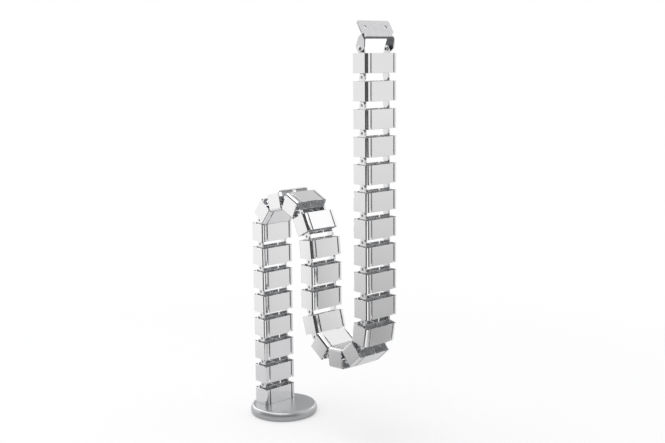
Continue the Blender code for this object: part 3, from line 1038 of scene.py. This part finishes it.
# %% The floor
FLOOR_RADIUS = 30.0
FLOOR_STEPS = 64
MIRROR_FADE = (0.25, 0.6)
CAMERA_FADE = (0.3, 1.2)
SEEN_GLOW, MIRRORED_GLOW = 0.48, 0.24
floor_material, floor_tree, floor_place = new_material("pale_studio_floor")
distance = add(floor_tree, "ShaderNodeVectorMath", {0: floor_place}, operation="LENGTH")
floor_rays = add(floor_tree, "ShaderNodeLightPath").outputs


def faded(limits, ray_kind):
    """How far the floor has faded at this distance, for one kind of ray."""
    far_away = add(floor_tree, "ShaderNodeMapRange", {
        "Value": distance.outputs["Value"], 1: limits[0], 2: limits[1]},
        interpolation_type="SMOOTHSTEP")
    return add(floor_tree, "ShaderNodeMath", {0: floor_rays[ray_kind], 1: far_away.outputs[0]},
               operation="MULTIPLY").outputs[0]


glow_level = add(floor_tree, "ShaderNodeMix", {
    "Factor": floor_rays["Is Camera Ray"], 2: MIRRORED_GLOW, 3: SEEN_GLOW}, data_type="FLOAT")
glow = add(floor_tree, "ShaderNodeEmission", {"Color": WHITE,
                                              "Strength": glow_level.outputs[0]})
paper = add(floor_tree, "ShaderNodeBsdfDiffuse", {"Color": linear("#BFBFC0")})
paper_and_glow = add(floor_tree, "ShaderNodeAddShader", {0: glow.outputs[0],
                                                         1: paper.outputs[0]})
shown = add(floor_tree, "ShaderNodeMath", {0: floor_rays["Is Camera Ray"],
                                           1: floor_rays["Is Glossy Ray"]}, operation="MAXIMUM")
near_floor = add(floor_tree, "ShaderNodeMixShader", {0: shown.outputs[0], 1: paper.outputs[0],
                                                     2: paper_and_glow.outputs[0]})
fade = add(floor_tree, "ShaderNodeMath", {0: faded(MIRROR_FADE, "Is Glossy Ray"),
                                          1: faded(CAMERA_FADE, "Is Camera Ray")},
           operation="MAXIMUM")
clear = add(floor_tree, "ShaderNodeBsdfTransparent")
floor_shader = add(floor_tree, "ShaderNodeMixShader", {0: fade.outputs[0],
                                                       1: near_floor.outputs[0],
                                                       2: clear.outputs[0]})
add(floor_tree, "ShaderNodeOutputMaterial", {"Surface": floor_shader.outputs[0]})

floor_solid = bmesh.new()
bmesh.ops.create_circle(floor_solid, cap_ends=True, segments=FLOOR_STEPS, radius=FLOOR_RADIUS)
floor_mesh = bpy.data.meshes.new("floor")
floor_solid.to_mesh(floor_mesh)
floor_solid.free()
floor = placed("floor", floor_mesh, floor_material)

# %% [markdown]
# Photographers hold black flags near an object to darken what one part of it mirrors. Two such
# flags stand beside the last column, one in front and one to its left. They are seen in
# mirrored rays only, and each is densest at the bottom and clear at the top and at one side.
# Both are turned so that their mirror images face the camera. Density begins below a height,
# grows by a slope for each metre down, and may start from a least value.

# %% The two flags
FLAG_HEADING = 42.4


def flag(name, centre, width, height, clear_side, dense_side, clear_top, slope, least):
    """A standing plane whose darkness grows downwards and from its clear to its dense side."""
    material, tree, place = new_material(name)
    spot = add(tree, "ShaderNodeSeparateXYZ", {0: place}).outputs
    across = add(tree, "ShaderNodeMapRange", {"Value": spot["X"], 1: clear_side, 2: dense_side},
                 interpolation_type="SMOOTHSTEP").outputs[0]
    below = add(tree, "ShaderNodeMath", {0: clear_top, 1: spot["Z"]}, operation="SUBTRACT")
    grown_down = add(tree, "ShaderNodeMath", {0: below.outputs[0], 1: 0.0}, operation="MAXIMUM")
    density = add(tree, "ShaderNodeMath", {0: grown_down.outputs[0], 1: slope, 2: least},
                  operation="MULTIPLY_ADD")
    amount = add(tree, "ShaderNodeMath", {0: density.outputs[0], 1: across},
                 operation="MULTIPLY", use_clamp=True)
    black = add(tree, "ShaderNodeEmission", {"Strength": 0.0})
    mixed = add(tree, "ShaderNodeMixShader", {
        0: amount.outputs[0], 1: add(tree, "ShaderNodeBsdfTransparent").outputs[0],
        2: black.outputs[0]})
    add(tree, "ShaderNodeOutputMaterial", {"Surface": mixed.outputs[0]})
    mesh = bpy.data.meshes.new(name)
    half = width / 2
    mesh.from_pydata([(-half, 0, 0), (half, 0, 0), (half, 0, height), (-half, 0, height)], [],
                     [(0, 1, 2, 3)])
    item = placed(name, mesh, material)
    item.matrix_world = (Matrix.Translation((*centre, 0.0))
                         @ Matrix.Rotation(math.radians(FLAG_HEADING), 4, "Z"))
    item.visible_camera = False
    item.visible_diffuse = False
    item.visible_shadow = False


flag("front_flag", centre=(0.193, -0.433), width=0.34, height=0.60, clear_side=0.13,
     dense_side=0.01, clear_top=0.52, slope=0.8, least=0.0)
flag("left_flag", centre=(-0.119, -0.130), width=0.22, height=0.70, clear_side=0.10,
     dense_side=0.03, clear_top=0.43, slope=0.74, least=0.10)

# %% [markdown]
# One large soft lamp hangs high above, to the left of the spine as the camera sees it. It
# gives the foot its soft shadow.

# %% The lamp
LAMP_PLACE = Vector((-0.6, 0.3, 2.4))
LAMP_AIM = Vector((0.0, 0.0, 0.4))
LAMP_SIZE = 1.6
LAMP_POWER = 14.0
lamp = bpy.data.objects.new("soft_box", bpy.data.lights.new("soft_box", "AREA"))
lamp.data.shape = "SQUARE"
lamp.data.size = LAMP_SIZE
lamp.data.energy = LAMP_POWER
lamp.location = LAMP_PLACE
lamp.rotation_mode = "QUATERNION"
lamp.rotation_quaternion = (LAMP_PLACE - LAMP_AIM).to_track_quat("Z", "Y")
scene.collection.objects.link(lamp)
